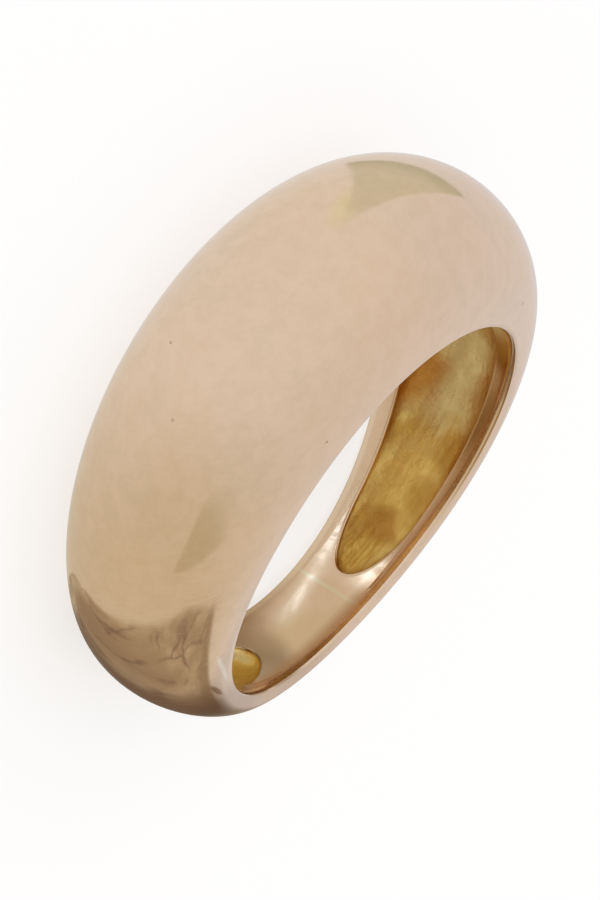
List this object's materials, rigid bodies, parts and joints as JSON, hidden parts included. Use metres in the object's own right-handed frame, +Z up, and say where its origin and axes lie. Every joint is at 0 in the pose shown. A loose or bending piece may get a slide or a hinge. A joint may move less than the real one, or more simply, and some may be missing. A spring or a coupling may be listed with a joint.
{
  "type": "domed band ring",
  "caption": "Polished rose gold dome ring that tapers to a narrow half-round shank, with a hollow satin back, lying on its side.",
  "frame": {"origin": "on the surface that the ring lies on, under the middle of its bounding box", "axes": "+Z up, the dome towards -Y and the shank towards +Y; the finger hole's axis leans 8.8 degrees from +Z towards +Y"},
  "size_m": [0.024, 0.0232, 0.0094],
  "materials": {
    "polished_gold": "polished",
    "cast_gold": "satin"
  },
  "bodies": {
    "root": {"domed_band": "polished_gold"}
  },
  "joints": []
}
